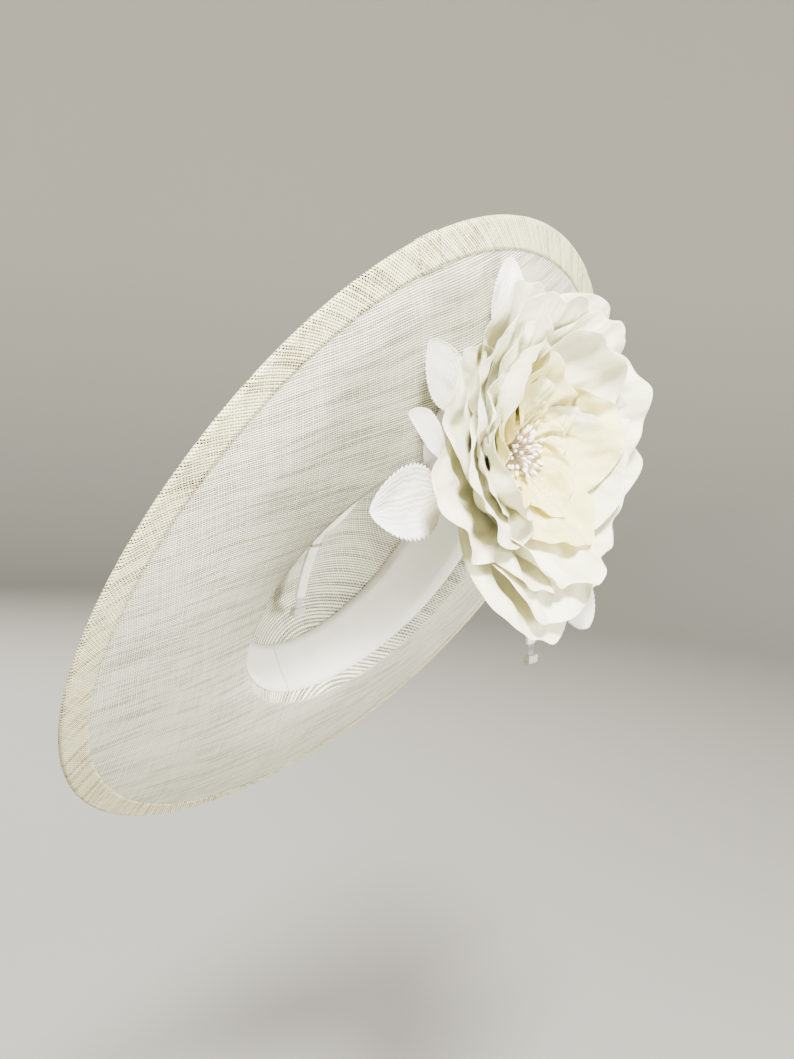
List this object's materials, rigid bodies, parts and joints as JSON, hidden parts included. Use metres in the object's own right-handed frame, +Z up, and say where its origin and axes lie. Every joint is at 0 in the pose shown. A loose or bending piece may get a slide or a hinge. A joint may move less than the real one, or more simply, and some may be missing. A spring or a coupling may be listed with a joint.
{
  "type": "fascinator headpiece",
  "caption": "Large upturned saucer hat of woven straw cloth with a wired bound edge, a shallow crown, a sprung headband and a silk rose with wired leaves under the brim.",
  "frame": {"origin": "top of the wearer's head, on the inner face of the headband", "axes": "+Z up as worn, the wearer faces -Y, +X towards the wearer's left"},
  "size_m": [0.2737, 0.415, 0.3701],
  "materials": {
    "sinamay": "woven",
    "sinamay_binding": "woven",
    "steel": "satin",
    "ribbon": "ribbed",
    "felt": "matte",
    "satin": "satin",
    "silk": "satin",
    "silk_cream": "satin",
    "leaf_cloth": "satin",
    "stem_wrap": "matte",
    "thread": "matte",
    "pearl": "gloss"
  },
  "bodies": {
    "hat": {"brim_inner_layer": "sinamay", "brim_outer_layer": "sinamay", "edge_binding": "sinamay_binding", "edge_wire": "steel", "wire_joiner": "steel", "headsize_ribbon": "ribbon", "crown_pad": "felt", "flower_pad": "felt", "headband_core": "steel", "headband_wrap": "satin", "headband_tip_right": "satin", "headband_stitches": "thread", "flower_stem": "stem_wrap", "flower_disc": "felt", "sepals": "leaf_cloth", "petal_outer_1": "silk", "petal_outer_2": "silk", "petal_outer_3": "silk", "petal_outer_4": "silk", "petal_outer_5": "silk", "petal_outer_6": "silk", "petal_outer_7": "silk", "petal_second_1": "silk", "petal_second_2": "silk", "petal_second_3": "silk", "petal_second_4": "silk", "petal_second_5": "silk", "petal_second_6": "silk", "petal_third_1": "silk", "petal_third_2": "silk", "petal_third_3": "silk", "petal_third_4": "silk", "petal_third_5": "silk", "petal_fourth_1": "silk_cream", "petal_fourth_2": "silk_cream", "petal_fourth_3": "silk_cream", "petal_fourth_4": "silk_cream", "petal_inner_1": "silk_cream", "petal_inner_2": "silk_cream", "petal_inner_3": "silk_cream", "stamen_filaments": "thread", "stamen_beads": "pearl", "leaf_stems": "stem_wrap"},
    "headband_arm": {"headband_arm_core": "steel", "headband_arm_wrap": "satin", "headband_tip_left": "satin"},
    "leaf_low_left": {"leaf_low_left": "leaf_cloth", "leaf_low_left_midrib": "stem_wrap"},
    "leaf_left": {"leaf_left": "leaf_cloth", "leaf_left_midrib": "stem_wrap"},
    "leaf_high_left": {"leaf_high_left": "leaf_cloth", "leaf_high_left_midrib": "stem_wrap"},
    "leaf_top": {"leaf_top": "leaf_cloth", "leaf_top_midrib": "stem_wrap"},
    "leaf_right": {"leaf_right": "leaf_cloth", "leaf_right_midrib": "stem_wrap"},
    "leaf_low_right": {"leaf_low_right": "leaf_cloth", "leaf_low_right_midrib": "stem_wrap"}
  },
  "joints": [
    {"name": "headband_spring", "type": "hinge", "parent": "hat", "child": "headband_arm", "pos_m": [0.03099, 0, -0.00859], "axis": [0, -1, 0], "range_deg": [-4, 12], "stiffness_Nm_per_rad": 2},
    {"name": "leaf_low_left_bend", "type": "hinge", "parent": "hat", "child": "leaf_low_left", "pos_m": [0.05641, -0.08302, -0.00875], "axis": [-0.1788, -0.1027, 0.9785], "range_deg": [-20, 8]},
    {"name": "leaf_left_bend", "type": "hinge", "parent": "hat", "child": "leaf_left", "pos_m": [0.05299, -0.07417, 0.01069], "axis": [-0.0179, 0.5695, 0.8218], "range_deg": [-12, 6]},
    {"name": "leaf_high_left_bend", "type": "hinge", "parent": "hat", "child": "leaf_high_left", "pos_m": [0.04966, -0.06329, 0.0321], "axis": [0.0745, 0.8219, 0.5648], "range_deg": [-8, 6]},
    {"name": "leaf_top_bend", "type": "hinge", "parent": "hat", "child": "leaf_top", "pos_m": [0.05693, -0.0362, 0.06883], "axis": [0.2301, 0.9405, -0.2502], "range_deg": [-4, 8]},
    {"name": "leaf_right_bend", "type": "hinge", "parent": "hat", "child": "leaf_right", "pos_m": [0.08369, 0.02778, 0.04061], "axis": [0.2007, 0.2326, -0.9517], "range_deg": [-20, 8]},
    {"name": "leaf_low_right_bend", "type": "hinge", "parent": "hat", "child": "leaf_low_right", "pos_m": [0.09002, -0.01022, -0.05239], "axis": [-0.0268, -0.7027, -0.711], "range_deg": [-20, 8]}
  ]
}
